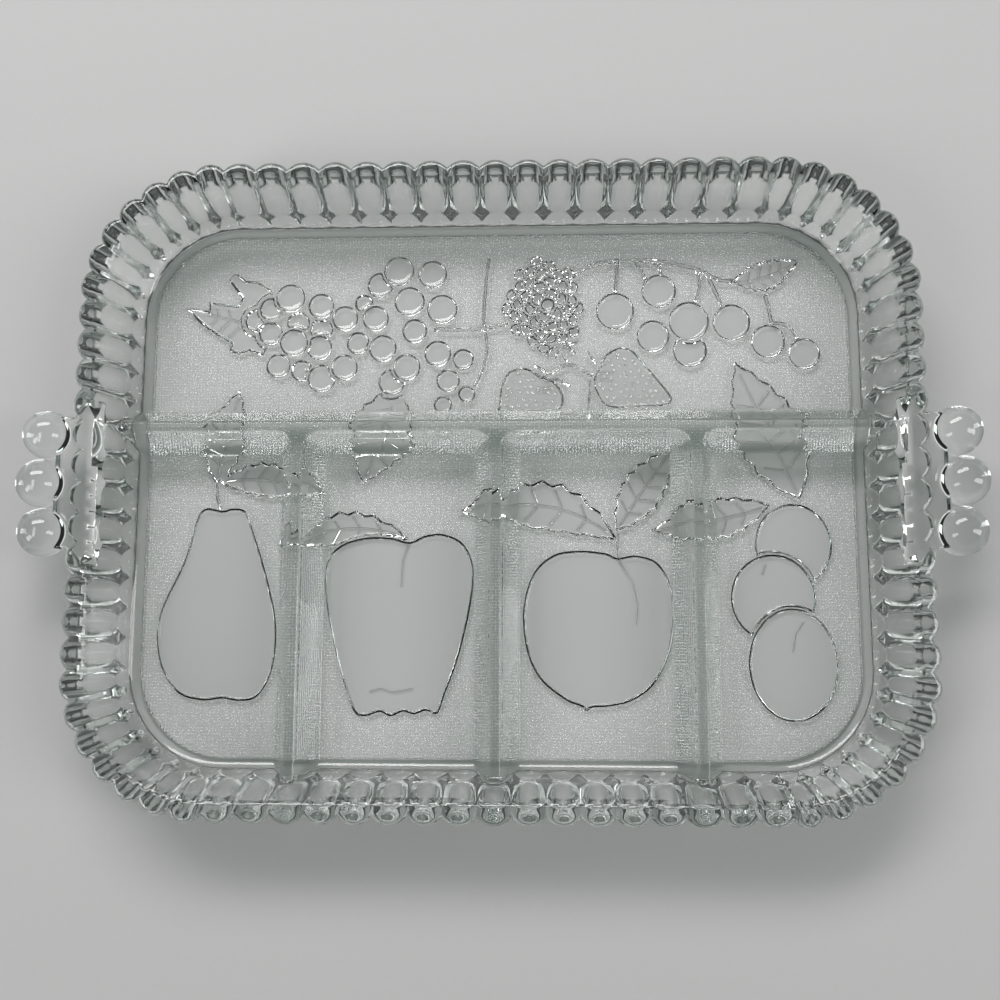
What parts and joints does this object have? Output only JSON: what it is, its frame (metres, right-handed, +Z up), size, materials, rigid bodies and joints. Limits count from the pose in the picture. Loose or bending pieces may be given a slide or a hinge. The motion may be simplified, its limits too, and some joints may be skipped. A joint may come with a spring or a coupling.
{
  "type": "relish tray",
  "caption": "Clear pressed-glass relish tray with a fluted wall, rounded corners, divided compartments, ball handles and fruit relief under its floor.",
  "frame": {"origin": "on the surface the tray stands on, under the middle of its plan", "axes": "+X along the width from the left handle to the right one, +Y from the row of small compartments to the wide one, +Z up"},
  "size_m": [0.3322, 0.2262, 0.03],
  "materials": {
    "clear_glass": "clear pressed glass with a faint green tint in thick paths, smooth and fire-polished, with a finely stippled underside to the floor"
  },
  "bodies": {
    "root": {"floor_plate": "clear_glass", "front_wall": "clear_glass", "back_wall": "clear_glass", "left_wall": "clear_glass", "right_wall": "clear_glass", "corner_front_left": "clear_glass", "corner_front_right": "clear_glass", "corner_back_left": "clear_glass", "corner_back_right": "clear_glass", "long_divider": "clear_glass", "left_divider": "clear_glass", "middle_divider": "clear_glass", "right_divider": "clear_glass", "left_handle_web": "clear_glass", "right_handle_web": "clear_glass", "left_ball_back": "clear_glass", "left_ball_middle": "clear_glass", "left_ball_front": "clear_glass", "right_ball_back": "clear_glass", "right_ball_middle": "clear_glass", "right_ball_front": "clear_glass", "grape_bunch": "clear_glass", "bramble": "clear_glass", "strawberries": "clear_glass", "cherries": "clear_glass", "pear": "clear_glass", "pepper": "clear_glass", "apple": "clear_glass", "plums": "clear_glass", "leaves": "clear_glass", "stems": "clear_glass"}
  },
  "joints": []
}
